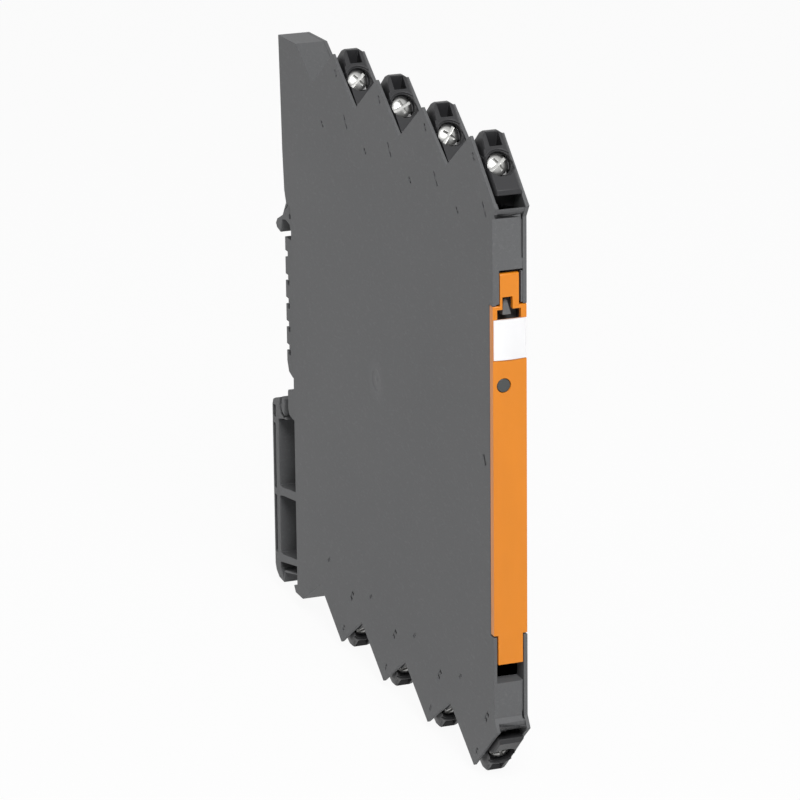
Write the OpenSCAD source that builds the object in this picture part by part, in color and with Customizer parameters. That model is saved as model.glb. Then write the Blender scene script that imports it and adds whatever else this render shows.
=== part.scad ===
// Slim signal conditioner for a 35 mm top-hat rail, seen with its front at -Y.
// Origin: the middle of the rail on the plane of its face; +Y runs to the rail, +Z up.

/* [Housing] */
// Width that the housing takes on the rail
housing_w = 6.1; // [5.9:0.05:8]
// Depth from the rail's face to the front face
front_d = 104.1; // [100:0.5:120]
// Half height of the side walls at the tips of their teeth
tooth_top = 55.3; // [54:0.1:62]
// Height of the housing's middle above the middle of the rail
mid_rise = 1.0; // [0:0.1:2]
// Thickness of the left side wall
plate_t = 0.6; // [0.45:0.05:0.7]
// Thickness of the side cover
cover_t = 0.7; // [0.45:0.05:0.8]
// Thickness of the front walls
wall_t = 0.9; // [0.7:0.05:1.2]
// How far the lips stand out of the front face
lip_out = 1.3; // [0.8:0.1:2]

/* [Teeth] */
// Distance between the tips of two teeth
tooth_pitch = 21.9; // [21.3:0.1:22.4]
// Depth of the notch between two teeth
tooth_depth = 7.55; // [7:0.05:8]
// Distance of the first tip behind the front face
first_tip = 9.6; // [9.2:0.1:10.4]

/* [Terminals] */
// Height of a terminal's crest above the tip of its tooth
crest_h = 1.0; // [0.6:0.1:1.4]
// Angle of a terminal's face below the level
face_a = 44; // [42:1:46]
// Angle of a terminal's screw above the level
screw_a = 25; // [22:1:28]
// Diameter of a screw's head
head_d = 3.8; // [3.4:0.1:4]
// Thread diameter of a screw
thread_d = 2.5; // [2:0.1:2.6]
// Diameter of a wire entry
wire_d = 2; // [1.6:0.1:2.2]
// Lean of a wire entry towards the front
wire_a = 15; // [12:1:18]
// Lift of a clamp from open to closed
clamp_lift = 0.65; // [0.3:0.05:0.7]

/* [Front flap] */
// Top of the flap's wide part above the housing's middle
flap_top = 28.7; // [26:0.1:30]
// Bottom of the flap's wide part below the housing's middle
flap_low = 29; // [26:0.1:30]
// Thickness of the flap
flap_t = 0.9; // [0.8:0.05:1.1]
// Diameter of the hinge pins
pin_d = 1; // [0.8:0.05:1.1]
// Diameter of the status light's guide
light_d = 2.3; // [1.8:0.1:2.6]

/* [Rail] */
// Width of the rail
rail_w = 35; // [35:0.1:35.4]
// Room for a rail's flange behind the seat
flange_room = 2; // [1.6:0.1:2.3]
// Travel of the foot when it lets go of the rail
foot_travel = 1.7; // [1.5:0.05:1.7]

/* [Board] */
// Thickness of the circuit board
board_t = 1; // [0.8:0.1:1.2]

/* [Hidden] */

// Clearances and the side faces
fit = 0.05;
slip = 0.12;
outer_x = housing_w / 2;
plate_x = plate_t - outer_x;
cover_x = outer_x - cover_t;
front_y = -front_d;
valley_h = tooth_top - tooth_depth;

// Rear edge of the side walls
back_y = -4.8;
inner_back_y = -6.4;
block_d = 9.25;
block_h = tooth_top - 2.2;

// Lips above and below the front face
lip_h = valley_h - 2.25;
lip_root = lip_h - 2.05;
room_h = valley_h - 1.15;

// Room behind the flap
pocket_d = 2.9;
pocket_top = flap_top + 5.7;
pocket_low = flap_low + 8.2;
flap_side = 1.5;

// Hinge of the flap
hinge_y = front_y + 1.2;
hinge_h = -flap_low - 3.5;
tongue_low = hinge_h - 1.4;

// Terminal places, from the tip of a tooth
screw_u = -5.95;
crest_u = -1.3;
ridge_t = 1;
face_u = -10;
function face_v(u) = crest_h + (u - crest_u) * tan(face_a);
screw_x = -0.05;
wire_x = 0.35;
block_l = plate_x + 0.3;
block_r = cover_x - fit;
channel_r = head_d / 2 + 0.25;
head_top = 0.9;
head_t = 0.9;
seat_t = head_top + head_t + fit;
nut_t = 0.5;
nut_at = seat_t + fit + clamp_lift;
tip_at = nut_at + nut_t + 0.1;
bar_at = tip_at + fit;
bar_t = 0.35;
jaw_at = 7.4;
jaw_t = 0.5;
yoke_w = 3.5;
yoke_leg = 0.3;
yoke_s = 0.7;
nut_low = -1.6;
nut_high = 1.4;
wire_u = -2.2;
wire_v = -1.2;
funnel_floor = -1.6;

// Board and what it carries
board_x = -0.85;
board_front = front_y + pocket_d + 1.6;
board_h = room_h - 5.1;
light_x = -1.07;
light_h = 15;

function tip_y(i) = front_y + first_tip + i * tooth_pitch;
function up(h) = mid_rise + h;
function tooth_edge(s) = [for (i = [3:-1:0]) each
    [[tip_y(i) + tooth_pitch / 2, up(s * valley_h)], [tip_y(i), up(s * tooth_top)]]];
function turned(list) = [for (i = [len(list) - 1:-1:0]) list[i]];

top_edge = concat([[0.3, up(block_h - 0.25)], [-block_d, up(block_h)]], tooth_edge(1));
low_edge = concat([[-2.9, up(-block_h + 0.4)], [-3.8, up(-block_h - 0.8)],
    [-7.8, up(-block_h - 0.8)]], tooth_edge(-1));
front_edge = [[front_y - lip_out, up(lip_h)], [front_y, up(lip_root)],
    [front_y, up(flap_top)], [front_y + flap_side, up(flap_top)],
    [front_y + flap_side, up(-flap_low)], [front_y, up(-flap_low)],
    [front_y, up(-lip_root)], [front_y - lip_out, up(-lip_h)]];
slot_z = rail_w / 2 + 0.1;
hook_z = rail_w / 2 + 4.8;
back_edge = [[back_y, up(-block_h + 1)], [back_y, slot_z], [back_y, hook_z],
    [-2.4, hook_z + 0.4], [-1.46, hook_z + 2.7], [-0.76, hook_z + 10], [-0.34, hook_z + 19]];

module wall(from_x, to_x) {
    translate([from_x, 0, 0]) rotate([90, 0, 90]) linear_extrude(to_x - from_x) children();
}

module side_outline() {
    polygon(concat(top_edge, front_edge, turned(low_edge), back_edge));
}

module area(y0, h0, y1, h1) {
    translate([y0, up(h0)]) square([y1 - y0, h1 - h0]);
}

// Places children at terminal i, 0 to 3 on top and 4 to 7 at the bottom
module at_terminal(i) {
    translate([0, tip_y(i % 4), mid_rise])
        mirror([0, 0, i < 4 ? 0 : 1]) translate([0, 0, tooth_top]) children();
}

// Turns the screw's way out into +Z, from the middle of its hole in the face
module on_screw() {
    translate([screw_x, screw_u, face_v(screw_u)]) rotate([90 - screw_a, 0, 0]) children();
}

// A block in the screw's frame, from depth t0 to t1 below the face and from s0 to s1 across
module across(w, s0, s1, t0, t1) {
    translate([-w / 2, s0, -t1]) cube([w, s1 - s0, t1 - t0]);
}

module slit(y, z, long, wide, lean) {
    translate([-outer_x - 1, y, z]) rotate([lean, 0, 0])
        translate([0, -long / 2, -wide / 2]) cube([plate_t + 1.2, long, wide]);
}

module tooth_slits() {
    for (i = [0:3]) for (s = [1, -1]) {
        z0 = mid_rise + s * tooth_top;
        slit(tip_y(i) + 6.04, z0 - s * 14.06, 1.3, 0.5, s * 40);
        slit(tip_y(i) - 1.41, z0 - s * 3.17, 1.4, 0.5, s * 58);
        slit(tip_y(i) - 6.07, z0 - s * 10.98, s > 0 ? 2.7 : 2.2, s > 0 ? 0.4 : 0.9, s * 53);
    }
    slit(front_y + 3.97, up(1.22), 1.9, 0.8, 60);
}

// Walls between the side wall and the cover: the outline less its rooms
module rim_section() {
    difference() {
        side_outline();
        area(front_y + pocket_d + wall_t, -room_h, inner_back_y, room_h);
        area(front_y + wall_t, pocket_top + wall_t, inner_back_y, room_h);
        area(front_y + wall_t, -room_h, inner_back_y, -pocket_low - wall_t);
        area(front_y - 1, -pocket_low, front_y + pocket_d, pocket_top);
        for (i = [0:3]) for (s = [0, 1])
            translate([tip_y(i) + face_u - 0.5, up(0)]) mirror([0, s])
                translate([0, room_h - 0.01]) square([tooth_pitch - 0.6, tooth_depth + 4]);
        for (s = [0, 1])
            translate([front_y - 0.5, up(0)]) mirror([0, s])
                translate([0, lip_h - 0.6]) square([wall_t + 0.3, 3]);
    }
}

module hook_section() {
    polygon([[inner_back_y, hook_z + 3], [-1.5, hook_z + 2.8], [-2.4, hook_z + 0.2],
        [-0.8, hook_z], [1.1, hook_z - 2.7], [4.2, hook_z - 4.15], [5, hook_z - 5.2],
        [4.4, hook_z - 5.9], [2.4, hook_z - 6.35], [flange_room + 0.1, hook_z - 5.8],
        [1.4, hook_z - 3.7], [-0.4, hook_z - 3.3], [-2.6, hook_z - 3.7],
        [-3.2, hook_z - 4.7], [inner_back_y, hook_z - 4.7]]);
}

strip_top = rail_w / 2 - 1.75;
strip_low = -rail_w / 2 + 6.7;
contact_pitch = 4.5;
contact_n = 5;
function contact_z(k) = strip_top - 3.25 - k * contact_pitch;

module strip_section() {
    difference() {
        polygon([[inner_back_y, strip_top], [0, strip_top], [0, strip_low + 2.6],
            [-0.9, strip_low + 0.6], [-2.9, strip_low], [inner_back_y, strip_low]]);
        for (k = [0:contact_n - 1])
            translate([-1.3, contact_z(k) - 0.6]) square([2, 1.2]);
    }
}

module seat_section() {
    low = -rail_w / 2;
    polygon([[inner_back_y, low + 5.6], [-4.75, low + 5.6], [-2.7, low + 4.1],
        [-0.2, low + 3.6], [0, low + 3.2], [0, low - 0.3], [-0.6, low - 1.2],
        [-2.2, low - 1.6], [inner_back_y, low - 1.6]]);
}

// Keyed tongues of the foot and the slots that they run in
guide_z = [-rail_w / 2 - 6, -rail_w / 2 - 24];
guide_h = 6;
guide_neck = 1;
guide_head = 1.8;

module guide_slots() {
    for (z = guide_z)
        translate([-guide_neck - slip, inner_back_y - 1, z - foot_travel - slip])
            cube([2 * (guide_neck + slip), 4, guide_h + foot_travel + 2 * slip]);
}

// Snap pegs that hold the cover to the shell
peg_r = 0.8;
peg_long = 2;
peg_at = [for (y = [-10, front_y + 17]) for (h = [-43, 43]) [y, h]];

module pegs(r, long) {
    for (p = peg_at)
        translate([cover_x - long, p[0], up(p[1])]) rotate([0, 90, 0])
            cylinder(r = r, h = long + 0.1, $fn = 32);
}

module base_shell() {
    color("dimgray") difference() {
        union() {
            difference() {
                wall(-outer_x, plate_x) side_outline();
                tooth_slits();
            }
            wall(plate_x - 0.1, cover_x) rim_section();
            wall(plate_x - 0.1, cover_x) hook_section();
            wall(plate_x - 0.1, cover_x) strip_section();
            wall(plate_x - 0.1, cover_x) seat_section();
            // Arms beside the flap's tab, and the tooth in its notch
            for (x = [[plate_x - 0.1, -1.8], [1.75, cover_x]])
                translate([x[0], front_y, up(flap_top)])
                    cube([x[1] - x[0], pocket_d + 0.1, pocket_top - flap_top + 0.1]);
            translate([light_x - 0.04, front_y + 0.25, up(flap_top - 1.7)])
                cube([1.5, pocket_d, 2.6]);
            // Sockets for the cover's pegs
            for (p = peg_at)
                translate([plate_x - 0.1, p[0], up(p[1])]) rotate([0, 90, 0])
                    cylinder(r = peg_r + 0.7, h = cover_x - plate_x + 0.1, $fn = 32);
        }
        pegs(peg_r + fit, peg_long + 0.3);
        guide_slots();
        // Hole for the light guide, and the left bearing of the flap's hinge
        translate([light_x, front_y + pocket_d + wall_t + 0.1, up(light_h)])
            rotate([90, 0, 0]) cylinder(d = light_d + 2 * fit, h = wall_t + 0.2, $fn = 48);
        translate([plate_x - 0.35, hinge_y, up(hinge_h)]) rotate([0, 90, 0])
            cylinder(d = pin_d + 2 * fit, h = 1, $fn = 32);
        // Bores of the hook and the seat, and the contacts' chambers
        translate([plate_x - 1, -2.9, hook_z - 2.1]) rotate([0, 90, 0])
            cylinder(r = 0.5, h = housing_w, $fn = 32);
        for (k = [0:contact_n - 1])
            translate([-0.5, inner_back_y - 1, contact_z(k) - 0.6]) cube([1, 6.2, 1.2]);
    }
}

module side_cover() {
    color("dimgray") difference() {
        union() {
            wall(cover_x, outer_x) side_outline();
            pegs(peg_r, peg_long);
        }
        translate([cover_x - 0.1, hinge_y, up(hinge_h)]) rotate([0, 90, 0])
            cylinder(d = pin_d + 2 * fit, h = 0.45, $fn = 32);
    }
}

module front_flap() {
    edge = outer_x - fit;
    low = -flap_low + 0.3;
    color("darkorange") difference() {
        union() {
            translate([-edge, front_y, up(low)]) cube([2 * edge, flap_t, flap_top - fit - low]);
            for (x = [-edge, edge - 0.6])
                translate([x, front_y, up(low)]) cube([0.6, flap_side - 0.1, flap_top - fit - low]);
            translate([-1.7, front_y, up(flap_top - 1)]) cube([3.35, flap_t, 6.4]);
            translate([-2.25, front_y, up(tongue_low)]) cube([4.45, flap_t, low - tongue_low + 0.1]);
            translate([-2.25, hinge_y, up(hinge_h)]) rotate([0, 90, 0])
                cylinder(d = pin_d + 0.7, h = 4.45, $fn = 32);
            translate([plate_x - 0.3, hinge_y, up(hinge_h)]) rotate([0, 90, 0])
                cylinder(d = pin_d, h = cover_x - plate_x + 0.6, $fn = 32);
        }
        // T notch for the shell's tooth
        translate([light_x - 0.2, front_y - 1, up(flap_top - 2.3)]) cube([1.8, 3, 3.7]);
        translate([-2.2, front_y - 1, up(flap_top - 2.3)]) cube([4.2, 3, 1.6]);
        // Seat of the tag and window of the light guide
        translate([-2.9, front_y - 1, up(19.3)]) cube([5.6, 1.3, 7.05]);
        translate([light_x, front_y + 2, up(light_h)]) rotate([90, 0, 0])
            cylinder(d = light_d + 0.2, h = 3, $fn = 48);
    }
}

module marker_tag() {
    color("white") intersection() {
        translate([-2.85, front_y - 0.3, up(19.4)]) cube([5.45, 0.6, 6.9]);
        translate([-0.12, front_y + 11.7, up(15)]) cylinder(r = 12, h = 15, $fn = 128);
    }
}

module light_pipe() {
    color("dimgray") {
        translate([light_x, front_y + pocket_d + wall_t, up(light_h)]) rotate([90, 0, 0])
            cylinder(d = light_d, h = pocket_d + wall_t - 0.1, $fn = 48);
        translate([light_x, front_y + pocket_d + wall_t + 0.4, up(light_h)]) rotate([90, 0, 0])
            cylinder(d = light_d + 0.3, h = 0.4, $fn = 48);
    }
}

module status_led() {
    color("lightyellow")
        translate([light_x - 0.7, board_front - 0.25, up(light_h) - 0.8]) cube([1.4, 0.25, 1.6]);
}

module main_board() {
    color("darkgreen") difference() {
        translate([board_x - board_t, board_front, up(-board_h)])
            cube([board_t, -board_front + inner_back_y - 1.2, 2 * board_h]);
        for (p = peg_at)
            translate([board_x - board_t - 1, p[0], up(p[1])]) rotate([0, 90, 0])
                cylinder(r = peg_r + 0.9, h = board_t + 2, $fn = 32);
    }
}

core_y = -52;
core_h = -14;
core_w = 14;
core_high = 12;
core_t = 3;
window_at = 4;
window_w = 3;
limb_w = 5.2;
coil_at = 0.85;
coil_w = 10.8;
coil_high = 17;
coil_t = 1.3;

module transformer_core() {
    color("#3a3a3c") translate([board_x, core_y, up(core_h)]) difference() {
        translate([0, -core_w / 2, -core_high / 2]) cube([core_t, core_w, core_high]);
        for (s = [-1, 1])
            translate([coil_at - fit, s * window_at - window_w / 2, -core_high / 2 - 1])
                cube([coil_t + 2 * fit, window_w, core_high + 2]);
    }
}

module transformer_coil() {
    color("peru") translate([board_x + coil_at, core_y, up(core_h)]) difference() {
        translate([0, -coil_w / 2, -coil_high / 2]) cube([coil_t, coil_w, coil_high]);
        translate([-1, -limb_w / 2, -core_high / 2 - 2 * fit])
            cube([coil_t + 2, limb_w, core_high + 4 * fit]);
    }
}

// Chip with a row of leads on its two sides
lead_t = 0.3;
lead_w = 0.4;
lead_l = 1;
standoff = 0.1;

module chip(wide, high, thick, pins) {
    translate([board_x + standoff, -wide / 2, -high / 2]) cube([thick, wide, high]);
    for (s = [-1, 1]) for (k = [0:pins - 1])
        translate([board_x, s * (wide + 0.6) / 2 - lead_l / 2,
                (k - (pins - 1) / 2) * high / pins - lead_w / 2])
            cube([lead_t, lead_l, lead_w]);
}

processor_y = -80;
processor_h = 6;
processor_w = 7;
converter_y = -30;
converter_h = -16;
converter_w = 6;
converter_high = 10;

module processor_chip() {
    color("#222222") translate([0, processor_y, up(processor_h)])
        chip(processor_w, processor_w, 1.2, 8);
}

module converter_chip() {
    color("#222222") translate([0, converter_y, up(converter_h)])
        chip(converter_w, converter_high, 1.8, 6);
}

capacitor_n = 5;
capacitor_pitch = 11;
capacitor_y = -76;
capacitor_h = 20;
capacitor_w = 5;
capacitor_high = 3.4;
capacitor_t = 2.4;

module capacitors() {
    color("tan") for (k = [0:capacitor_n - 1])
        translate([board_x, capacitor_y + k * capacitor_pitch, up(capacitor_h)])
            cube([capacitor_t, capacitor_w, capacitor_high]);
}

module bus_contacts() {
    color("gold") for (k = [0:contact_n - 1])
        translate([-0.4, inner_back_y + 0.4, contact_z(k) - 0.5]) {
            cube([0.8, -inner_back_y - 1.9, 1]);
            translate([0, -inner_back_y - 2.3, 0.25]) cube([0.8, 1, 0.5]);
        }
}

// Foot of the housing: two long walls with ribs between them, and a nose behind the flange
module foot_section() {
    low = -rail_w / 2;
    rib = [low - 3, low - 17.2, low - 31];
    end = low - 36;
    difference() {
        polygon([[flange_room, low - 2.4], [flange_room, low + 1.1], [3.6, low + 1.4],
            [7.4, low - 1.15], [8.9, low - 3], [8.9, end + 2.4], [8.5, end + 1.1],
            [6.8, end + 0.2], [4, end], [3.9, rib[2] - 0.6], [-4.7, rib[2] - 0.8],
            [-4.7, low - 2.4]]);
        // Large cells
        for (k = [0:1])
            polygon([[-3.5, rib[k] - 1.5], [3.9, rib[k] - 0.6], [3.9, rib[k + 1] + 1.5],
                [-3.5, rib[k + 1] + 0.6]]);
        // Narrow cells behind them
        for (k = [0:1])
            polygon([[5.3, rib[k] - 1.2], [7.7, rib[k] - 1.2], [7.7, rib[k + 1] + 1],
                [5.3, rib[k + 1] + 1]]);
        polygon([[5.3, rib[2] - 1.2], [7.7, rib[2] - 1.2], [7.7, end + 2.6], [5.3, end + 2.2]]);
    }
}

module rail_foot() {
    half = outer_x - 0.45;
    color("dimgray") {
        wall(-half, half) foot_section();
        for (z = guide_z) {
            translate([-guide_neck, inner_back_y - 0.2, z]) cube([2 * guide_neck, 2, guide_h]);
            translate([-guide_head, inner_back_y - 0.9, z])
                cube([2 * guide_head, 0.8, guide_h]);
        }
    }
}

module block_section() {
    polygon([[crest_u + 0.15, crest_h], [crest_u + ridge_t, crest_h],
        [crest_u + ridge_t + 1.7, crest_h - 2.4], [tooth_pitch / 2 - 0.35, -tooth_depth - 0.25],
        [tooth_pitch / 2 - 0.35, -tooth_depth - 1.3], [4, -tooth_depth - 1.3],
        [4, -tooth_depth - 4.5], [-5.6, -tooth_depth - 4.5], [-5.6, -tooth_depth - 1],
        [face_u, -tooth_depth - 0.6], [face_u, face_v(face_u)], [crest_u, face_v(crest_u) - 0.02]]);
}

module terminal_block() {
    mid = (block_l + block_r) / 2;
    color("#2c2c2e") difference() {
        intersection() {
            wall(block_l, block_r) block_section();
            // Crest with its corners taken down
            translate([0, -15, 0]) rotate([90, 0, 180]) linear_extrude(40)
                polygon([[-block_r, -15], [-block_r, crest_h - 1.4], [-block_r + 0.9, crest_h],
                    [-block_l - 1.1, crest_h], [-block_l, crest_h - 1.4], [-block_l, -15]]);
        }
        // Wire funnel and wire entry
        translate([wire_x - 1.15, wire_u - 1.5, funnel_floor]) cube([2.7, 2.7, 6]);
        translate([wire_x, wire_u, wire_v]) rotate([wire_a, 0, 0])
            translate([0, 0, -8.6]) cylinder(d = wire_d, h = 12, $fn = 48);
        on_screw() {
            translate([0, 0, -seat_t]) cylinder(r = channel_r, h = 8, $fn = 48);
            across(yoke_w + 0.2, -yoke_s - 0.2, yoke_s + 0.2, seat_t - 0.01, jaw_at + jaw_t + 0.2);
            across(yoke_w + 0.2, nut_low - 0.1, nut_high + 0.1, seat_t - 0.01, tip_at + 0.1);
        }
        bar_shape(fit);
    }
}

// Strip that runs across the screw's tip and then down to the board
module bar_shape(grow) {
    tail_u = screw_u + cos(screw_a) * (bar_at + bar_t / 2) - sin(screw_a) * 2.6;
    tail_v = face_v(screw_u) - sin(screw_a) * (bar_at + bar_t / 2) - cos(screw_a) * 2.6;
    on_screw() across(2.6 + 2 * grow, -3 - grow, 0.75 + grow, bar_at - grow, bar_at + bar_t + grow);
    translate([board_x - grow, tail_u - 0.3 - grow, tail_v - 9])
        cube([1.2 + 2 * grow, 0.6 + 2 * grow, 9.3]);
}

module contact_bar() {
    color("silver") bar_shape(0);
}

module terminal_screw() {
    color("gainsboro") on_screw() difference() {
        union() {
            translate([0, 0, -head_top - head_t]) cylinder(d = head_d, h = head_t, $fn = 48);
            translate([0, 0, -tip_at]) cylinder(d = thread_d, h = tip_at - head_top, $fn = 48);
        }
        translate([-head_d, -0.25, -head_top - 0.45]) cube([2 * head_d, 0.5, 1]);
        translate([-0.25, -1.2, -head_top - 0.45]) cube([0.5, 2.4, 1]);
    }
}

module clamp_yoke() {
    color("lightsteelblue") on_screw() difference() {
        union() {
            across(yoke_w, -yoke_s, yoke_s, nut_at, jaw_at + jaw_t);
            across(yoke_w, nut_low, nut_high, nut_at, nut_at + nut_t);
        }
        across(yoke_w - 2 * yoke_leg, -yoke_s - 1, yoke_s + 1, nut_at + nut_t, jaw_at);
        translate([0, 0, -nut_at - nut_t - 0.5])
            cylinder(d = thread_d + 0.1, h = nut_t + 1, $fn = 48);
    }
}

base_shell();
side_cover();
front_flap();
marker_tag();
light_pipe();
status_led();
main_board();
transformer_core();
transformer_coil();
processor_chip();
converter_chip();
capacitors();
bus_contacts();
rail_foot();
for (i = [0:7]) {
    at_terminal(i) terminal_block();
    at_terminal(i) terminal_screw();
    at_terminal(i) clamp_yoke();
    at_terminal(i) contact_bar();
}
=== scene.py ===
"""Dresses a slim signal conditioner for a 35 mm rail: mouldings, screws, finishes, stage and camera."""

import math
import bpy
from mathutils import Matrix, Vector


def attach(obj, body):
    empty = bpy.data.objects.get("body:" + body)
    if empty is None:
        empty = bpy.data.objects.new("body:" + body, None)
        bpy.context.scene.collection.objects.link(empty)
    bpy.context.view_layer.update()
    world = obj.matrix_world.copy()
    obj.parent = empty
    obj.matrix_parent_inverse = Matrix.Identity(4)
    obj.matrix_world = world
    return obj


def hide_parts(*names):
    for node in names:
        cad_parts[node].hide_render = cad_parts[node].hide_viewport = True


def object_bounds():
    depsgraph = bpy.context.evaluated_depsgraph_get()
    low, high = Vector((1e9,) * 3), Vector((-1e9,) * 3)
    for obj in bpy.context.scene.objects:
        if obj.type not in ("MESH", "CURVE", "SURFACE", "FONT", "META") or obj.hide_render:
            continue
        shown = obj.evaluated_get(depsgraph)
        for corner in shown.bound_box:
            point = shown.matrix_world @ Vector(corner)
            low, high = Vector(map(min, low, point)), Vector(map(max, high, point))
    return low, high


bl_info = {
    "name": "Slim Signal Conditioner",
    "version": (1, 0, 0),
    "blender": (4, 5, 0),
    "location": "View3D > Sidebar > Conditioner",
    "description": "Builds the mouldings, screws and finishes of a slim signal conditioner",
    "category": "Object",
}

import bmesh
import bpy
from mathutils import Matrix, Vector

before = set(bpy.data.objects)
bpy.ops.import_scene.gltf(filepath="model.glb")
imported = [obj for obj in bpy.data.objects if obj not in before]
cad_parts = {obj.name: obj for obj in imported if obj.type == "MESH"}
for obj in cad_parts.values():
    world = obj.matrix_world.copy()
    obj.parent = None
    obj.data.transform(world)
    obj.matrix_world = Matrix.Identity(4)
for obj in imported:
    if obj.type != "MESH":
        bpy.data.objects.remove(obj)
CAD_BOX = [list(corner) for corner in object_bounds()]

MM = 0.001
WELD = 0.0005 * MM
TERMINALS = range(1, 9)
PER_ROW = 4

# Sizes that the housing's rule gives, in millimetres, as the solids have them
FRONT_Y = -104.1
FIRST_TIP = 9.6
TOOTH_PITCH = 21.9
TOOTH_TOP = 55.3
MID_RISE = 1.0
CREST_H = 1.0
CREST_U = -1.3
CREST_TOP = 0.8
FACE_LOW = -9.7
VALLEY = -7.55
INSERT_L = -2.15
INSERT_R = 2.3
WIRE_U = -2.2
WIRE_A = math.radians(15)
FUNNEL_L = -0.9
FUNNEL_R = 1.3
FUNNEL_LOW = -3.2
CHANNEL_R = 2.15
LIP_R = 0.26
LIP_OFF = 0.42
LIP_FROM = math.radians(38)
LIP_TO = math.radians(150)
HEAD_LOW = 1.8
BRIM_SHARE = 0.45
RIDGE_SHARE = 0.28
CUTTER_TALL = 2 * MM
SLOT_TWIST = (0.6, 0.9, 0.4, 0.7, 0.3, 0.8, 0.5, 0.6)
FACE_A = math.radians(44)
SCREW_A = math.radians(25)
SCREW_X = -0.05
SCREW_U = -5.95
PLATE_X = -3.05
PLATE_IN = -2.45
COVER_IN = 2.35
LIP_ROOT = 43.45
LIP_TOP = 45.5
RECESS_TOP = -31.0
RECESS_LOW = -37.0
CONTACT_TOP = 12.5
CONTACT_PITCH = 4.5
CONTACT_COUNT = 4
CONTACT_MIDDLE = 0.75
FRONT_SLIT_Z = 2.22
GATE = (-48.9, 1.7)
HOOK_BORE = 20.2

# The clamp's chamber below a screw's channel, as boxes in the screw's own frame
CHAMBER = (
    ((-1.85, -0.9, -8.1), (1.85, 0.9, -1.8)),
    ((-1.85, -1.7, -3.25), (1.85, 1.5, -1.8)),
    ((-1.4, -3.1, -3.7), (1.4, 0.85, -3.2)),
)

# Slits of each tooth: place along Y and down from its tip, length, width above and below, lean
SLITS = (
    (6.04, 14.06, 1.3, 0.5, 0.5, 40),
    (-1.41, 3.17, 1.4, 0.5, 0.5, 58),
    (-6.07, 10.98, 2.4, 0.4, 0.9, 53),
)
BRIDGE_SHARE = 0.17
BRIDGE_WIDE = 0.6
BRIDGE_FACE = 0.08
BRIDGE_BACK = 0.5

# Openings of the shell: pairs are depths behind the front face
TONGUE_ROOM = (1.2, 4.5)
RELEASE_ROOM = (0.35, 3.9)
RELEASE_LOW = 2.6
RELEASE_HIGH = 1.7
RIDGE_DOWN = 0.3
RIDGE_ROOM = (-2, 0.75)
SEAM_FROM = 36.5
SEAM_WIDE = 0.32
SEAM_ROOM = (-0.5, 0.4)
UNDERCUT_RISE = 0.65
UNDERCUT_OUT = 1.27
UNDERCUT_EDGE = 0.6
FLAP_ROOM = (-1, 2.6)

# Front flap: its top, its tab's top and sides, its tag, and the shell's tooth in its notch
FLAP_TOP = 29.65
TAB_TOP = 35.1
TAB_L = -1.7
TAB_R = 1.65
TAB_CHAMFER = 0.2
SHOULDER_CHAMFER = 0.16
TOOTH_L = -1.11
TOOTH_R = 0.39
TOOTH_LEAN = 0.52
TAG_LOW = 20.3
TAG_HIGH = 27.35
TAG_MIDDLE = 23.85
TAG_WIDER = 0.3
LIGHT_Z = 16.0

# Finishes: gloss of the plastics, and how many grains of each pattern lie in a metre
PLASTIC_GLOSS = 0.28
CLOUD_SCALE = 45
GRAIN_SCALE = 5200
FLECK_SCALE = 2100
FLOW_SCALE = 260
SKIN_SCALE = 2400
STROKE_SCALE = 900
STAIN_SCALE = 700
PIT_SCALE = 3600
WEAVE_SCALE = 1800
TRACK_SCALE = 160
TURN_SCALE = 900
SAND_SCALE = 4200
PORE_SCALE = 1400

# Side view of the foot in millimetres: its guides, its outline and the cells between its ribs
FOOT_HALF = 2.6
FOOT_GUIDES = (-23.5, -41.5)
GUIDE_TALL = 6
GUIDE_STEPS = ((1.0, -6.5, -4.65), (1.8, -7.25, -6.45))
FOOT_OUTLINE = (
    (2.0, -19.9), (2.0, -16.4), (3.2, -16.2), (4.6, -16.75), (7.3, -17.6), (8.4, -18.1), (8.9, -19.2),
    (8.9, -51.1), (8.3, -52.3), (6.8, -53.3), (4.0, -53.5), (3.4, -51.3), (-4.7, -49.3), (-4.7, -19.9),
)
FOOT_CELLS = (
    ((-4.2, -18.8), (5.5, -21.3), (5.5, -34.4), (4.0, -34.4), (-4.2, -33.0)),
    ((-4.2, -34.8), (4.0, -36.1), (5.5, -36.6), (5.5, -47.9), (4.0, -47.9), (-4.2, -46.4)),
    ((-4.9, -47.6), (5.9, -49.9), (5.9, -51.2), (4.2, -52.7), (3.6, -50.9), (-4.9, -49.0)),
    ((7.3, -22.7), (8.55, -22.7), (8.55, -35.6), (7.3, -35.6)),
    ((7.3, -37.0), (8.55, -37.0), (8.55, -48.4), (7.3, -48.4)),
    ((7.1, -19.0), (8.5, -19.2), (8.5, -21.4), (7.1, -21.4)),
    ((3.1, -15.9), (4.1, -15.9), (4.9, -18.3), (4.3, -19.7), (2.2, -20.4), (1.9, -19.8), (3.4, -19.2),
     (3.9, -18.3)),
)

# The photographer's place, from the repeated marks of the side wall
CAMERA_PLACE = (-0.26698, -0.76059, 0.2329)
CAMERA_AZIMUTH = math.radians(20.664)
CAMERA_ELEVATION = math.radians(17.198)
CAMERA_ROLL = math.radians(-0.636)
CAMERA_LENS = 202.5

# The white room: the rays that see it as white, and how much of the floor glows for them
SEEN_RAYS = ("Is Camera Ray", "Is Glossy Ray", "Is Transmission Ray")
FLOOR_GLOW = 0.94
FLOOR_HALF = 6
FLOOR_DROP = 0.0003
WHITE = (1, 1, 1, 1)
LOOK_AT = (0, -0.06, 0)


def tip_y(index):
    """Place along Y of the tip of tooth 0 to 3, in millimetres."""
    return FRONT_Y + FIRST_TIP + index * TOOTH_PITCH


def face_height(along):
    """Height of a terminal's sloping face above its tooth's tip."""
    return CREST_H + (along - CREST_U) * math.tan(FACE_A)


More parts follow.
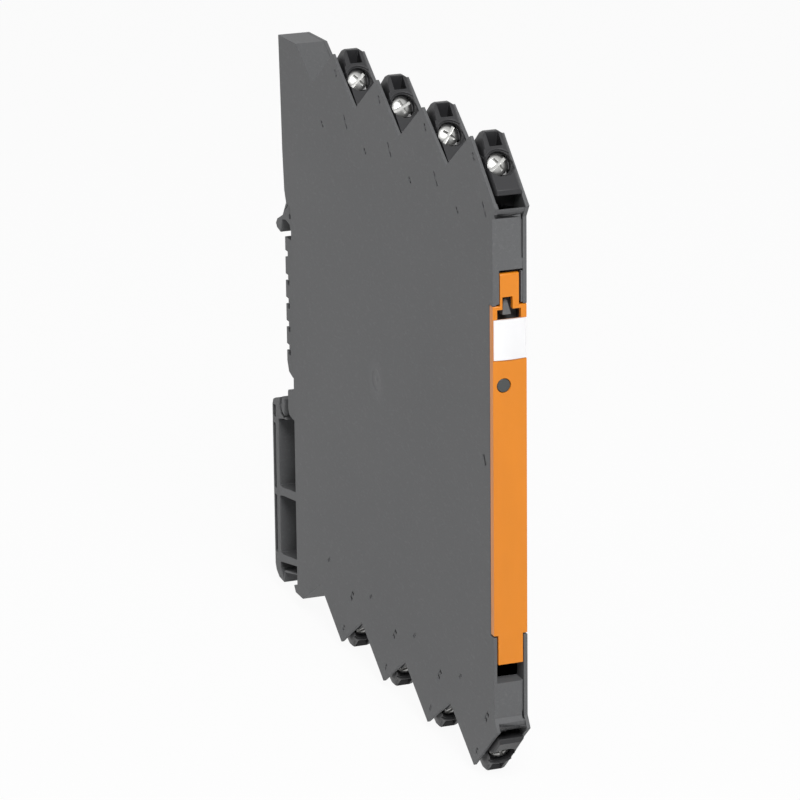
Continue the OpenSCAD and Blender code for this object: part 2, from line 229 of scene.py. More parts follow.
class Signal:
    """A socket of a node graph that takes part in sums as a number does."""

    def __init__(self, graph, socket):
        self.graph = graph
        self.socket = socket

    def maths(self, operation, first, second):
        return self.graph.add("ShaderNodeMath", {"operation": operation}, {0: first, 1: second})

    def __add__(self, other):
        return self.maths("ADD", self, other)

    def __radd__(self, other):
        return self.maths("ADD", other, self)

    def __sub__(self, other):
        return self.maths("SUBTRACT", self, other)

    def __rsub__(self, other):
        return self.maths("SUBTRACT", other, self)

    def __mul__(self, other):
        return self.maths("MULTIPLY", self, other)

    def __rmul__(self, other):
        return self.maths("MULTIPLY", other, self)

    def __truediv__(self, other):
        return self.maths("DIVIDE", self, other)

    def __rtruediv__(self, other):
        return self.maths("DIVIDE", other, self)


class Graph:
    """A node graph with short words for its nodes."""

    def __init__(self, group):
        self.nodes = group.nodes
        self.links = group.links
        self.nodes.clear()

    def join(self, value, socket):
        """Links a signal or a list of signals to a socket, or sets the socket's own value."""
        if isinstance(value, Signal):
            self.links.new(value.socket, socket)
        elif isinstance(value, list):
            for part in value:
                self.links.new(part.socket, socket)
        else:
            socket.default_value = value

    def add(self, kind, choices, values, result=0):
        """One node: its settings first, then the values or links of its sockets."""
        node = self.nodes.new(kind)
        for key, choice in choices.items():
            if key != "stops":
                setattr(node, key, choice)
                continue
            elements = node.color_ramp.elements
            while len(elements) < len(choice):
                elements.new(0.5)
            for element, (place, level) in zip(elements, choice):
                element.position = place
                element.color = (level, level, level, 1)
        for key, value in values.items():
            self.join(value, node.inputs[key])
        return Signal(self, node.outputs[result])

    def seen(self):
        """One for rays that see the white room as white, else nought."""
        camera, glossy, clear = (
            self.add("ShaderNodeLightPath", {}, {}, ray) for ray in SEEN_RAYS
        )
        return camera + glossy + clear


class Shader(Graph):
    """A material's graph, started with a Principled BSDF on its output."""

    def __init__(self, name):
        self.material = bpy.data.materials.new(name)
        self.material.use_nodes = True
        super().__init__(self.material.node_tree)
        self.output = self.nodes.new("ShaderNodeOutputMaterial")
        self.surface = self.nodes.new("ShaderNodeBsdfPrincipled")
        self.links.new(self.surface.outputs["BSDF"], self.output.inputs["Surface"])

    def surface_point(self):
        return self.add("ShaderNodeTexCoord", {}, {}, "Object")

    def noise(self, point, scale, detail=2.0, roughness=0.5):
        values = {"Vector": point, "Scale": scale, "Detail": detail, "Roughness": roughness}
        return self.add("ShaderNodeTexNoise", {"noise_dimensions": "3D"}, values)

    def stretched(self, point, scale):
        return self.add("ShaderNodeMapping", {}, {"Vector": point, "Scale": scale})

    def ramp(self, value, stops):
        """Grey levels between stops of place and level."""
        return self.add("ShaderNodeValToRGB", {"stops": stops}, {"Fac": value})

    def blend(self, factor, first, second):
        """Colour between two colours or links."""
        values = {0: factor, 6: first, 7: second}
        return self.add("ShaderNodeMix", {"data_type": "RGBA"}, values, 2)

    def bump(self, height, distance, strength=1.0):
        values = {"Height": height, "Distance": distance, "Strength": strength}
        return self.add("ShaderNodeBump", {}, values)

    def finish(self, **values):
        """Sets the Principled BSDF's sockets, written with underscores for blanks."""
        for key, value in values.items():
            self.join(value, self.surface.inputs[key.replace("_", " ")])
        return self.material


def shade(colour, factor):
    """A colour made darker or lighter, with its alpha."""
    return (colour[0] * factor, colour[1] * factor, colour[2] * factor, 1)


def eroded_plastic(name, colour, roughness, grain, gate=0.0):
    """Moulded plastic from a spark-eroded tool: fine grain, faint clouds and small flecks."""
    shader = Shader(name)
    point = shader.surface_point()
    clouds = shader.noise(point, CLOUD_SCALE)
    grains = shader.noise(shader.stretched(point, (1, 0.5, 1)), GRAIN_SCALE, 2.0, 0.6)
    flecks = shader.noise(shader.stretched(point, (1, 0.4, 1)), FLECK_SCALE, 2.0, 0.6)
    bright = shader.ramp(flecks, [(0.0, 0.0), (0.55, 0.0), (0.7, 1.0)])
    dark = shader.ramp(grains, [(0.0, 1.0), (0.38, 0.6), (0.52, 0.0)])
    body = shader.blend(clouds, shade(colour, 0.9), shade(colour, 1.08))
    body = shader.blend(dark * 0.3, body, shade(colour, 0.6))
    body = shader.blend(bright * 0.2, body, shade(colour, 1.7))
    if gate:
        # The melt's pale halo round the gate
        middle = (PLATE_X * MM, GATE[0] * MM, GATE[1] * MM)
        reach = shader.add(
            "ShaderNodeVectorMath", {"operation": "DISTANCE"}, {0: point, 1: middle}, "Value"
        )
        halo = shader.ramp(reach / (gate * MM), [(0.0, 1.0), (0.35, 0.5), (1.0, 0.0)])
        body = shader.blend(halo * 0.3, body, shade(colour, 2.2))
    relief = grains * 0.7 + flecks * 0.3
    return shader.finish(
        Specular_IOR_Level=PLASTIC_GLOSS,
        Base_Color=body,
        Roughness=roughness - 0.06 + clouds * 0.12,
        Normal=shader.bump(relief, grain * MM, 0.8),
    )


def smooth_plastic(name, colour, roughness, wave=0.004, sheen=0.0, gloss=PLASTIC_GLOSS):
    """Polished moulded plastic with slight flow marks and a soft ripple."""
    shader = Shader(name)
    point = shader.surface_point()
    flow = shader.noise(shader.stretched(point, (1, 1, 0.35)), FLOW_SCALE, 3.0)
    skin = shader.noise(point, SKIN_SCALE)
    body = shader.blend(flow, shade(colour, 0.93), shade(colour, 1.05))
    return shader.finish(
        Specular_IOR_Level=gloss,
        Base_Color=body,
        Roughness=roughness - 0.05 + skin * 0.1,
        Normal=shader.bump(flow * 0.6 + skin * 0.4, wave * MM, 0.7),
        Coat_Weight=sheen,
    )


def plated_metal(name, colour, roughness, brush):
    """Plated metal: fine brush strokes, stains of the passivation and small pits."""
    shader = Shader(name)
    point = shader.surface_point()
    strokes = shader.noise(shader.stretched(point, brush), STROKE_SCALE, 4.0, 0.65)
    stains = shader.noise(point, STAIN_SCALE)
    pits = shader.ramp(shader.noise(point, PIT_SCALE), [(0.0, 0.0), (0.66, 0.0), (0.74, 1.0)])
    body = shader.blend(stains, shade(colour, 0.82), shade(colour, 1.08))
    body = shader.blend(pits * 0.4, body, shade(colour, 0.45))
    return shader.finish(
        Base_Color=body,
        Metallic=1.0,
        Roughness=roughness + strokes * 0.16 - 0.05,
        Normal=shader.bump(strokes * 0.8 - pits * 0.6, 0.006 * MM, 0.8),
    )


def board_laminate(name, colour):
    """Solder resist over glass cloth: the weave shows faintly, with tracks under the resist."""
    shader = Shader(name)
    point = shader.surface_point()
    weave = shader.add("ShaderNodeTexChecker", {}, {"Vector": point, "Scale": WEAVE_SCALE}, "Fac")
    tracks = shader.add(
        "ShaderNodeTexBrick",
        {},
        {"Vector": shader.stretched(point, (1, 1, 1)), "Scale": TRACK_SCALE, "Mortar Size": 0.03},
        "Fac",
    )
    body = shader.blend(weave * 0.25, shade(colour, 1.0), shade(colour, 0.8))
    body = shader.blend(tracks * 0.6, body, shade(colour, 1.6))
    return shader.finish(
        Base_Color=body,
        Roughness=0.3 + weave * 0.1,
        Normal=shader.bump(weave * 0.3 + tracks, 0.01 * MM, 0.7),
    )


def wound_copper(name, colour):
    """Enamelled wire laid side by side, with painted shade: the colour darkens between the turns."""
    shader = Shader(name)
    point = shader.surface_point()
    turns = shader.add(
        "ShaderNodeTexWave",
        {"wave_type": "BANDS", "bands_direction": "Y"},
        {"Vector": point, "Scale": TURN_SCALE, "Distortion": 0.4},
        "Fac",
    )
    # Painted shade: the colour falls to 0.45 of the copper's between the turns, where the round wires
    # shade each other
    body = shader.blend(turns, shade(colour, 0.45), shade(colour, 1.1))
    return shader.finish(
        Base_Color=body,
        Metallic=0.85,
        Roughness=0.25 + turns * 0.1,
        Normal=shader.bump(turns, 0.05 * MM),
    )


def sintered(name, colour, roughness):
    """Pressed and fired body: sandy grain with darker pores."""
    shader = Shader(name)
    point = shader.surface_point()
    sand = shader.noise(point, SAND_SCALE, 4.0, 0.7)
    pores = shader.add("ShaderNodeTexVoronoi", {}, {"Vector": point, "Scale": PORE_SCALE}, "Distance")
    body = shader.blend(sand, shade(colour, 0.75), shade(colour, 1.25))
    return shader.finish(
        Base_Color=body,
        Roughness=roughness + sand * 0.15 - 0.07,
        Normal=shader.bump(sand + pores * 0.5, 0.01 * MM, 0.8),
    )


def softened(name, node, width, cutters=(), levels=()):
    """A copy of a CAD node, carved by the cutters, with its edges rounded by width millimetres."""
    work = reopened(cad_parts[node].data)
    bmesh.ops.remove_doubles(work, verts=work.verts, dist=WELD)
    return rounded(shown(name, plain(work, name)), width, cutters, levels)


def rounded(piece, width, cutters=(), levels=(), corner=28, segments=2):
    """Carves a solid, joins its flat faces and rounds its edges; a level splits a face at its hole."""
    for cutter in cutters:
        carve = piece.modifiers.new("Carve", "BOOLEAN")
        carve.operation = "DIFFERENCE"
        carve.solver = "EXACT"
        carve.object = cutter
    applied(piece)
    for cutter in cutters:
        bpy.data.objects.remove(cutter)
    work = reopened(piece.data)
    bmesh.ops.remove_doubles(work, verts=work.verts, dist=WELD)
    for level in levels:
        everything = work.verts[:] + work.edges[:] + work.faces[:]
        split = bmesh.ops.bisect_plane(
            work, geom=everything, dist=0.001 * MM, plane_co=(0, 0, level * MM), plane_no=(0, 0, 1)
        )
        for part in split["geom_cut"]:
            if isinstance(part, bmesh.types.BMEdge):
                part.seam = True
    bmesh.ops.dissolve_limit(
        work,
        angle_limit=math.radians(0.6),
        use_dissolve_boundaries=False,
        verts=work.verts,
        edges=work.edges,
        delimit={"SEAM"},
    )
    piece.data = plain(work, piece.name)
    bevel = piece.modifiers.new("Rounded edges", "BEVEL")
    bevel.width = width * MM
    bevel.segments = segments
    bevel.limit_method = "ANGLE"
    bevel.angle_limit = math.radians(corner)
    bevel.use_clamp_overlap = False
    bevel.loop_slide = False
    weigh = piece.modifiers.new("Flat faces first", "WEIGHTED_NORMAL")
    weigh.weight = 100
    return applied(piece)


def plain(work, name):
    """The finished mesh of a bmesh, smooth all over."""
    mesh = bpy.data.meshes.new(name)
    for face in work.faces:
        face.smooth = True
    work.to_mesh(mesh)
    work.free()
    return mesh


def reopened(mesh):
    """A bmesh with a mesh's faces in it."""
    work = bmesh.new()
    work.from_mesh(mesh)
    return work


def closed(work, rings):
    """Joins rings of vertices, one after another, to a solid with flat ends."""
    count = len(rings[0])
    faces = [work.faces.new(rings[0]), work.faces.new(rings[-1])]
    for near, far in zip(rings, rings[1:]):
        for step in range(count):
            after = (step + 1) % count
            faces.append(work.faces.new((near[step], near[after], far[after], far[step])))
    bmesh.ops.recalc_face_normals(work, faces=faces)


def prism(work, outline, low, high, axis="x", place=Matrix()):
    """A solid with an outline in millimetres across its axis, from low to high along it."""
    rings = []
    for level in (low, high):
        spots = [(level, a, b) if axis == "x" else (a, level, b) for a, b in outline]
        rings.append([work.verts.new((place @ Vector(spot)) * MM) for spot in spots])
    closed(work, rings)


def block(work, low, high, place=Matrix()):
    """A solid box between two corners in millimetres."""
    outline = [(low[1], low[2]), (high[1], low[2]), (high[1], high[2]), (low[1], high[2])]
    prism(work, outline, low[0], high[0], "x", place)


def turned(work, profile, place, steps=64):
    """A solid turned round Z, from its top to its bottom as radius and height in millimetres."""
    rings = []
    for out, height in profile:
        ring = []
        for step in range(steps):
            angle = 2 * math.pi * step / steps
            spot = Vector((out * math.cos(angle), out * math.sin(angle), height))
            ring.append(work.verts.new((place @ spot) * MM))
        rings.append(ring)
    closed(work, rings)


def away(shape, *details):
    """A solid that a Boolean takes away, out of the render."""
    work = bmesh.new()
    shape(work, *details)
    piece = shown("cutter", plain(work, "cutter"))
    piece.hide_render = True
    return piece


def shown(name, data):
    """A new object at the origin for a mesh, a light or a camera."""
    piece = bpy.data.objects.new(name, data)
    bpy.context.scene.collection.objects.link(piece)
    return piece


def applied(piece):
    """Turns the result of a piece's modifiers into its plain mesh."""
    reader = bpy.context.evaluated_depsgraph_get()
    mesh = bpy.data.meshes.new_from_object(piece.evaluated_get(reader), depsgraph=reader)
    mesh.name = piece.name
    piece.modifiers.clear()
    piece.data = mesh
    return piece


def dress(piece, material, body, slot, *nodes):
    """Gives a piece its finish, its body and the nodes that it stands for."""
    piece.data.materials.clear()
    piece.data.materials.append(material)
    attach(piece, body)
    if nodes:
        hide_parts(*nodes)
    return piece


def coat(node, material):
    """Gives a CAD node its finish as it is."""
    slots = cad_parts[node].data.materials
    if not slots:
        slots.append(material)
    for index in range(len(slots)):
        slots[index] = material


# Settings that all colours of the panel share
COLOUR = {"subtype": "COLOR", "size": 3, "min": 0, "max": 1}


class HousingSettings(bpy.types.PropertyGroup):
    colour: bpy.props.FloatVectorProperty(
        name="Plastic Colour", description="Colour of the shell, cover and foot",
        default=(0.115, 0.117, 0.12), **COLOUR,
    )
    roughness: bpy.props.FloatProperty(
        name="Roughness", description="Roughness of the eroded plastic",
        subtype="FACTOR", min=0.2, max=1, default=0.56,
    )
    grain: bpy.props.FloatProperty(
        name="Grain Depth", description="Depth of the eroded grain, in millimetres",
        min=0, max=0.05, default=0.012,
    )
    edge: bpy.props.FloatProperty(
        name="Edge Radius", description="Rounding of the mouldings' edges, in millimetres",
        min=0.02, max=0.2, default=0.1,
    )
    gate: bpy.props.FloatProperty(
        name="Gate Mark", description="Diameter of the moulding gate's ring, in millimetres",
        min=1, max=6, default=4.3,
    )


class FlapSettings(bpy.types.PropertyGroup):
    colour: bpy.props.FloatVectorProperty(
        name="Flap Colour", description="Colour of the front flap",
        default=(0.72, 0.225, 0.008), **COLOUR,
    )
    tag_colour: bpy.props.FloatVectorProperty(
        name="Tag Colour", description="Colour of the blank marker tag",
        default=(0.86, 0.86, 0.87), **COLOUR,
    )
    guide_colour: bpy.props.FloatVectorProperty(
        name="Light Guide Colour", description="Colour of the unlit light guide",
        default=(0.06, 0.065, 0.065), **COLOUR,
    )
    edge: bpy.props.FloatProperty(
        name="Edge Radius", description="Rounding of the flap's edges, in millimetres",
        min=0.02, max=0.2, default=0.045,
    )


class TerminalSettings(bpy.types.PropertyGroup):
    colour: bpy.props.FloatVectorProperty(
        name="Insert Colour", description="Colour of the terminal inserts",
        default=(0.032, 0.032, 0.034), **COLOUR,
    )
    zinc: bpy.props.FloatVectorProperty(
        name="Zinc Colour", description="Colour of the plated screws",
        default=(0.42, 0.42, 0.41), **COLOUR,
    )
    edge: bpy.props.FloatProperty(
        name="Edge Radius", description="Rounding of the inserts' edges, in millimetres",
        min=0.02, max=0.2, default=0.12,
    )
    head: bpy.props.FloatProperty(
        name="Head Diameter", description="Diameter of a screw's head, in millimetres",
        min=3, max=4.2, default=3.6,
    )
    sunk: bpy.props.FloatProperty(
        name="Head Depth", description="Depth of a head below the insert's face, in millimetres",
        min=0.9, max=1.5, default=1.4,
    )
    thread: bpy.props.FloatProperty(
        name="Thread Diameter", description="Outer diameter of a screw's thread, in millimetres",
        min=1.6, max=2.6, default=2.5,
    )
    slot: bpy.props.FloatProperty(
        name="Slot Width", description="Width of a screw's slot, in millimetres",
        min=0.3, max=0.8, default=0.55,
    )


class StageSettings(bpy.types.PropertyGroup):
    key: bpy.props.FloatProperty(
        name="Key Light", description="Power of the soft light at the front",
        unit="POWER", min=0, max=200, default=9.8,
    )
    side: bpy.props.FloatProperty(
        name="Side Light", description="Power of the soft light on the left",
        unit="POWER", min=0, max=200, default=0.62,
    )
    room: bpy.props.FloatProperty(
        name="Room Light", description="Strength of the light from all round",
        subtype="FACTOR", min=0, max=2, default=0.15,
    )
    floor: bpy.props.FloatVectorProperty(
        name="Floor Colour", description="Colour of the pale floor",
        default=(0.92, 0.92, 0.92), **COLOUR,
    )


class CONDITIONER_OT_housing(bpy.types.Operator):
    """Make the shell and the side cover with their grooves, openings and rounded edges"""

    bl_idname = "conditioner.housing"
    bl_label = "Housing"

    def execute(self, context):
        own = context.scene.conditioner_housing
        plastic = eroded_plastic("Dark grey housing", own.colour, own.roughness, own.grain, own.gate)
        carved = shell_openings() + [gate_dimple(own.gate / 2)]
        levels = [MID_RISE + side * (TOOTH_TOP - slit[1]) for side in (1, -1) for slit in SLITS]
        levels += [FRONT_SLIT_Z, GATE[1], HOOK_BORE]
        levels += [middle - CONTACT_MIDDLE for middle in contact_heights()]
        shell = softened("shell", "base_shell", own.edge, carved, levels)
        work = reopened(shell.data)
        slit_bridges(work)
        shell.data = plain(work, "shell")
        dress(shell, plastic, "housing", "housing_plastic", "base_shell")
        cover = softened("cover", "side_cover", own.edge)
        dress(cover, plastic, "housing", "housing_plastic", "side_cover")
        return {"FINISHED"}


def heights(side, near, far):
    """Lower and upper height of what lies from near to far from the middle, above or below it."""
    return sorted((MID_RISE + side * near, MID_RISE + side * far))


def contact_heights():
    """Heights of the rail contacts' chambers."""
    return [CONTACT_TOP - number * CONTACT_PITCH for number in range(1, CONTACT_COUNT + 1)]


def hollow(across, deep, high):
    """A box to take away, between pairs of X, of depth behind the front face and of Z."""
    corners = zip(across, (FRONT_Y + deep[0], FRONT_Y + deep[1]), high)
    return away(block, *corners)


def shell_openings():
    """What is open or deep in the shell, each as a solid to take away."""
    inner_l, inner_r = PLATE_IN + 0.1, COVER_IN + 1
    inside = (inner_l, inner_r)
    # Room under the flap's tongue, open to the inside
    openings = [hollow((PLATE_IN + 0.15, inner_r), TONGUE_ROOM, heights(1, RECESS_LOW, RECESS_TOP))]
    for side in (1, -1):
        # Deep part of the release pocket, the ridge in front of it, and the seam beside the cover
        pocket = heights(side, LIP_TOP - RELEASE_LOW, LIP_TOP + RELEASE_HIGH)
        openings.append(hollow(inside, RELEASE_ROOM, pocket))
        ridge = heights(side, LIP_TOP - RIDGE_DOWN, LIP_TOP + 2.6)
        openings.append(hollow(inside, RIDGE_ROOM, ridge))
        seam = heights(side, SEAM_FROM, LIP_ROOT + 0.6)
        openings.append(hollow((COVER_IN - SEAM_WIDE, inner_r), SEAM_ROOM, seam))
    openings.append(away(prism, undercut(), inner_l, inner_r))
    # Room round the flap's tab and over its shoulders
    shoulders = (FLAP_TOP - 0.1, FLAP_TOP + 0.3)
    openings += [
        hollow((TAB_L - 0.1, inner_r), (-1, 1.5), (TAB_TOP + 0.2, TAB_TOP + 0.55)),
        hollow((TAB_R + 0.05, 2.0), FLAP_ROOM, (FLAP_TOP, TAB_TOP + 0.35)),
        hollow((inner_l, TAB_L - 0.05), FLAP_ROOM, shoulders),
        hollow((TAB_R + 0.05, inner_r), FLAP_ROOM, shoulders),
    ]
    openings += tooth_sides()
    # Slot in the sloping wall below the front face
    slot = (MID_RISE - LIP_TOP + 0.35, MID_RISE - LIP_ROOT - 0.12)
    openings.append(hollow(inside, (-2, -0.5), slot))
    # Open ends of the rail contacts' chambers
    for middle in contact_heights():
        openings.append(away(block, (PLATE_X - 1, -2.0, middle - 1.3), (0.4, -0.95, middle - 0.2)))
    return openings


def undercut():
    """Side view of what is cut below the upper ridge, steeper than the walls beside it."""
    root, edge = MID_RISE + LIP_ROOT, MID_RISE + LIP_TOP - UNDERCUT_EDGE
    far = FRONT_Y - 2.5
    return [(FRONT_Y, root - 0.2), (FRONT_Y, root + UNDERCUT_RISE), (FRONT_Y - UNDERCUT_OUT, edge),
            (far, edge), (far, root - 0.2)]


def tooth_sides():
    """What is cut from the tooth in the flap's notch: it narrows upward and leans back."""
    low, high = FLAP_TOP - 2, FLAP_TOP + 1.2
    front, back = FRONT_Y - 0.5, FRONT_Y + 2.7
    out_l, out_r = TOOTH_L - 0.1, TOOTH_R + 0.1
    left = [(out_l, low), (TOOTH_L + TOOTH_LEAN, high), (out_l, high)]
    right = [(out_r, low), (TOOTH_R - TOOTH_LEAN, high), (out_r, high)]
    face = [(front, low), (FRONT_Y + 0.25, low), (FRONT_Y + 1.2, high), (front, high)]
    return [
        away(prism, left, front, back, "y"),
        away(prism, right, front, back, "y"),
        away(prism, face, out_l, out_r),
    ]


def slit_bridges(work):
    """The cover's snap legs, which fill the middle of each slit a little below the wall's face."""
    for index in range(PER_ROW):
        for side in (1, -1):
            for along, down, long, above, below, lean in SLITS:
                half_wide = BRIDGE_WIDE * (above if side > 0 else below)
                half_long = BRIDGE_SHARE * long
                height = MID_RISE + side * (TOOTH_TOP - down)
                spot = Matrix.Translation((PLATE_X, tip_y(index) + along, height))
                place = spot @ Matrix.Rotation(math.radians(side * lean), 4, "X")
                low = (BRIDGE_FACE, -half_long, -half_wide)
                block(work, low, (BRIDGE_BACK, half_long, half_wide), place)


def gate_dimple(radius):
    """The shallow dimple that the mould's gate left in the side wall, with a nib in its middle."""
    profile = [(radius + 0.1, 0.3), (radius + 0.1, 0.02), (radius, -0.02), (radius - 0.2, -0.1),
               (radius - 0.5, -0.15), (0.6, -0.17), (0.45, -0.06), (0.2, -0.03)]
    place = Matrix.Translation((PLATE_X, GATE[0], GATE[1])) @ Matrix.Rotation(-math.pi / 2, 4, "Y")
    return away(turned, profile, place, 48)


def edge_strip(front, top, size):
    """Outline of what a chamfer takes off an upper front edge."""
    spare = 0.3
    near, above = front - spare, top + spare
    return [(near, top - size - spare), (front + size + spare, above), (near, above)]


class CONDITIONER_OT_flap(bpy.types.Operator):
    """Make the hinged front flap, its blank tag and the light guide"""

    bl_idname = "conditioner.flap"
    bl_label = "Front Flap"

    def execute(self, context):
        own = context.scene.conditioner_flap
        orange = smooth_plastic("Orange flap", own.colour, 0.34, 0.003, 0.0, 0.45)
        shoulder = edge_strip(FRONT_Y, FLAP_TOP, SHOULDER_CHAMFER)
        # The thin skin above the tag's seat, the seat's right end, and chamfers along the top
        carved = [
            hollow((-2.2, 2.0), (-1, 3), (TAG_HIGH - 0.2, TAG_HIGH + 0.2)),
            hollow((2.5, 4), (-1, 0.3), (TAG_LOW, TAG_HIGH)),
            away(prism, edge_strip(FRONT_Y, TAB_TOP, TAB_CHAMFER), -4, 4),
            away(prism, shoulder, -4, TAB_L - 0.02),
            away(prism, shoulder, TAB_R + 0.02, 4),
        ]
        piece = softened("flap_moulding", "front_flap", own.edge, carved, [TAG_MIDDLE, LIGHT_Z])
        dress(piece, orange, "flap", "flap_plastic", "front_flap")
        white = smooth_plastic("White tag", own.tag_colour, 0.38, 0.002)
        piece = softened("tag", "marker_tag", 0.08)
        for vertex in piece.data.vertices:
            if vertex.co.x > 2.0 * MM:
                vertex.co.x += TAG_WIDER * MM
        dress(piece, white, "flap", "tag_plastic", "marker_tag")
        smoke = smooth_plastic("Smoke light guide", own.guide_colour, 0.25, 0.002, 0.3)
        piece = softened("light_guide", "light_pipe", 0.08)
        dress(piece, smoke, "housing", "light_guide", "light_pipe")
        return {"FINISHED"}


class CONDITIONER_OT_foot(bpy.types.Operator):
    """Make the ribbed foot that slides down to let go of the rail"""

    bl_idname = "conditioner.foot"
    bl_label = "Rail Foot"

    def execute(self, context):
        own = context.scene.conditioner_housing
        plastic = eroded_plastic("Dark grey foot", own.colour, own.roughness, own.grain)
        work = bmesh.new()
        prism(work, FOOT_OUTLINE, -FOOT_HALF, FOOT_HALF)
        cells = [away(prism, cell, -FOOT_HALF - 1, FOOT_HALF - 0.5) for cell in FOOT_CELLS]
        levels = [sum(spot[1] for spot in cell[:4]) / 4 for cell in FOOT_CELLS[:-1]]
        piece = rounded(shown("foot", plain(work, "foot")), own.edge, cells, levels)
        work = reopened(piece.data)
        for height in FOOT_GUIDES:
            for half, deep, near in GUIDE_STEPS:
                block(work, (-half, deep, height), (half, near, height + GUIDE_TALL))
        piece.data = plain(work, "foot")
        dress(piece, plastic, "foot", "housing_plastic", "rail_foot")
        return {"FINISHED"}


class Tree(Graph):
    """A geometry tree and its inputs."""

    def __init__(self, name, inputs):
        self.group = bpy.data.node_groups.new(name, "GeometryNodeTree")
        super().__init__(self.group)
        self.inputs = {}
        sockets = self.group.interface
        sockets.new_socket("Geometry", in_out="OUTPUT", socket_type="NodeSocketGeometry")
        for title, kind, *default in inputs:
            socket = sockets.new_socket(title, in_out="INPUT", socket_type="NodeSocket" + kind)
            if default:
                socket.default_value = default[0]
            self.inputs[title] = socket.identifier
        self.source = self.nodes.new("NodeGroupInput")

    def given(self, title):
        return Signal(self, self.source.outputs[title])

    def point(self, x, y, z):
        return self.add("ShaderNodeCombineXYZ", {}, {"X": x, "Y": y, "Z": z})

    def moved(self, geometry, **values):
        return self.add("GeometryNodeTransform", {}, {"Geometry": geometry, **values})

    def cylinder(self, fill, **values):
        sizes = {key.replace("_", " "): value for key, value in values.items()}
        return self.add("GeometryNodeMeshCylinder", {"fill_type": fill}, sizes, "Mesh")

    def joined(self, *parts):
        return self.add("GeometryNodeJoinGeometry", {}, {"Geometry": list(parts)})

    def end(self, geometry):
        real = self.add("GeometryNodeRealizeInstances", {}, {"Geometry": geometry})
        values = {"Geometry": real, "Material": self.given("Material")}
        painted = self.add("GeometryNodeSetMaterial", {}, values)
        finish = self.nodes.new("NodeGroupOutput")
        self.join(painted, finish.inputs[0])

    def grow(self, piece, **values):
        """Runs the tree on a piece with its inputs set, and keeps the result as a plain mesh."""
        modifier = piece.modifiers.new(self.group.name, "NODES")
        modifier.node_group = self.group
        for name, value in values.items():
            modifier[self.inputs[name.replace("_", " ")]] = value
        return applied(piece)


def screw_tree():
    """A clamp screw along Z with its head's top at zero: chamfered head, slot and cross, thread."""
    lengths = (
        ("Head Diameter", 0.0038), ("Head Height", 0.0009), ("Chamfer", 0.00018),
        ("Thread Diameter", 0.0025), ("Length", 0.00225), ("Pitch", 0.00045),
        ("Slot Width", 0.0005), ("Slot Depth", 0.00025), ("Cross Length", 0.0024),
        ("Crown", 0.0004), ("Twist", 0.0),
    )
    inputs = [(title, "Float", length) for title, length in lengths]
    inputs += [("Place", "Vector"), ("Turn", "Vector"), ("Material", "Material")]
    tree = Tree("Clamp screw", inputs)
    radius = tree.given("Head Diameter") * 0.5
    height = tree.given("Head Height")
    length = tree.given("Length")
    pitch = tree.given("Pitch")
    head = screw_slots(tree, screw_head(tree, radius, height), radius)
    screw = tree.joined(head, *screw_thread(tree, height, length, pitch))
    screw = tree.moved(screw, Rotation=tree.point(0.0, 0.0, tree.given("Twist")))
    tree.end(tree.moved(screw, Translation=tree.given("Place"), Rotation=tree.given("Turn")))
    return tree


def screw_head(tree, radius, height):
    """The head, drawn in at its upper edge and crowned toward its middle."""
    head = tree.cylinder(
        "TRIANGLE_FAN", Vertices=64, Side_Segments=4, Fill_Segments=8, Radius=radius, Depth=height
    )
    place = tree.add("GeometryNodeInputPosition", {}, {})
    level = tree.add("ShaderNodeSeparateXYZ", {}, {"Vector": place}, "Z")
    multiply = {"operation": "MULTIPLY"}
    flat = tree.add("ShaderNodeVectorMath", multiply, {0: place, 1: (1.0, 1.0, 0.0)})
    out = tree.add("ShaderNodeVectorMath", {"operation": "LENGTH"}, {0: flat}, "Value") / radius
    crown = tree.given("Crown") * (1.0 - out * out)
    share = (radius - tree.given("Chamfer")) / radius
    values = {
        "Geometry": head,
        "Selection": tree.add(
            "FunctionNodeCompare", {"operation": "GREATER_THAN"}, {0: level, 1: height * BRIM_SHARE}
        ),
        "Position": tree.add(
            "ShaderNodeVectorMath", multiply, {0: place, 1: tree.point(share, share, 1.0)}
        ),
        "Offset": tree.point(0.0, 0.0, crown),
    }
    head = tree.add("GeometryNodeSetPosition", {}, values)
    return tree.moved(head, Translation=tree.point(0.0, 0.0, -0.5 * height))


def screw_slots(tree, head, radius):
    """The head with its slot and the shorter slot across it."""
    up = tree.point(0.0, 0.0, CUTTER_TALL / 2 - tree.given("Slot Depth"))
    width = tree.given("Slot Width")
    sizes = (
        tree.point(radius * 2.2, width, CUTTER_TALL),
        tree.point(width, tree.given("Cross Length"), CUTTER_TALL),
    )
    cubes = [tree.add("GeometryNodeMeshCube", {}, {"Size": size}, "Mesh") for size in sizes]
    return tree.add(
        "GeometryNodeMeshBoolean",
        {"operation": "DIFFERENCE", "solver": "EXACT"},
        {"Mesh 1": head, "Mesh 2": [tree.moved(cube, Translation=up) for cube in cubes]},
        "Mesh",
    )


def screw_thread(tree, height, length, pitch):
    """The shank and the thread round it, from the head's underside down."""
    ridge = pitch * RIDGE_SHARE
    core = tree.given("Thread Diameter") * 0.5 - ridge
    shank = tree.cylinder("NGON", Vertices=40, Radius=core, Depth=length)
    half_way = -1.0 * (height + length * 0.5)
    shank = tree.moved(shank, Translation=tree.point(0.0, 0.0, half_way))
    rise = length - pitch
    spiral = tree.add(
        "GeometryNodeCurveSpiral",
        {},
        {"Resolution": 32, "Rotations": rise / pitch, "Start Radius": core, "End Radius": core,
         "Height": rise},
    )
    section = tree.add(
        "GeometryNodeCurvePrimitiveCircle", {"mode": "RADIUS"}, {"Resolution": 4, "Radius": ridge}
    )
    values = {"Curve": spiral, "Profile Curve": section, "Fill Caps": True}
    thread = tree.add("GeometryNodeCurveToMesh", {}, values)
    low = -1.0 * (height + length - ridge)
    return shank, tree.moved(thread, Translation=tree.point(0.0, 0.0, low))


